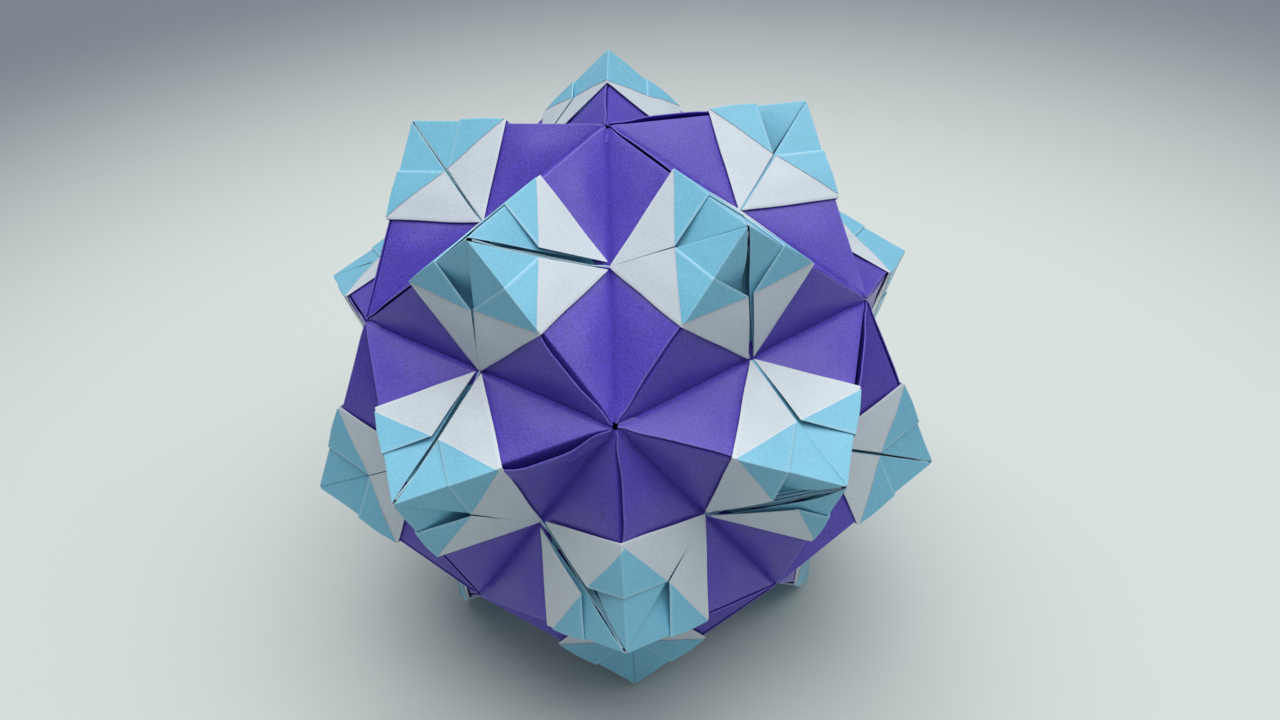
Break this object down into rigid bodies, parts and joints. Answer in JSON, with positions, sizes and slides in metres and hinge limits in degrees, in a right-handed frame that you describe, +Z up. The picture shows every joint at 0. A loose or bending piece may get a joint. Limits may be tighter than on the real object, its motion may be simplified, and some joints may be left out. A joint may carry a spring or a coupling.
{
  "type": "kusudama paper ball",
  "caption": "Ball of folded purple paper units whose three-sided points each carry a folded light blue cap with white petals, for decoration.",
  "frame": {"origin": "centre of the ball's outline, on the surface that it stands on", "axes": "+Z up through the middle of the top dimple, -Y towards the dimple that faces the viewer"},
  "size_m": [0.1098, 0.1156, 0.0971],
  "materials": {
    "purple_paper": "matte",
    "blue_paper": "matte, white on the back"
  },
  "bodies": {
    "root": {"purple_unit_01": "purple_paper", "purple_unit_02": "purple_paper", "purple_unit_03": "purple_paper", "purple_unit_04": "purple_paper", "purple_unit_05": "purple_paper", "purple_unit_06": "purple_paper", "purple_unit_07": "purple_paper", "purple_unit_08": "purple_paper", "purple_unit_09": "purple_paper", "purple_unit_10": "purple_paper", "purple_unit_11": "purple_paper", "purple_unit_12": "purple_paper", "purple_unit_13": "purple_paper", "purple_unit_14": "purple_paper", "purple_unit_15": "purple_paper", "purple_unit_16": "purple_paper", "purple_unit_17": "purple_paper", "purple_unit_18": "purple_paper", "purple_unit_19": "purple_paper", "purple_unit_20": "purple_paper", "purple_unit_21": "purple_paper", "purple_unit_22": "purple_paper", "purple_unit_23": "purple_paper", "purple_unit_24": "purple_paper", "purple_unit_25": "purple_paper", "purple_unit_26": "purple_paper", "purple_unit_27": "purple_paper", "purple_unit_28": "purple_paper", "purple_unit_29": "purple_paper", "purple_unit_30": "purple_paper", "blue_cap_01": "blue_paper", "blue_cap_02": "blue_paper", "blue_cap_03": "blue_paper", "blue_cap_04": "blue_paper", "blue_cap_05": "blue_paper", "blue_cap_06": "blue_paper", "blue_cap_07": "blue_paper", "blue_cap_08": "blue_paper", "blue_cap_09": "blue_paper", "blue_cap_10": "blue_paper", "blue_cap_11": "blue_paper", "blue_cap_12": "blue_paper", "blue_cap_13": "blue_paper", "blue_cap_14": "blue_paper", "blue_cap_15": "blue_paper", "blue_cap_16": "blue_paper", "blue_cap_17": "blue_paper", "blue_cap_18": "blue_paper", "blue_cap_19": "blue_paper", "blue_cap_20": "blue_paper"}
  },
  "joints": []
}
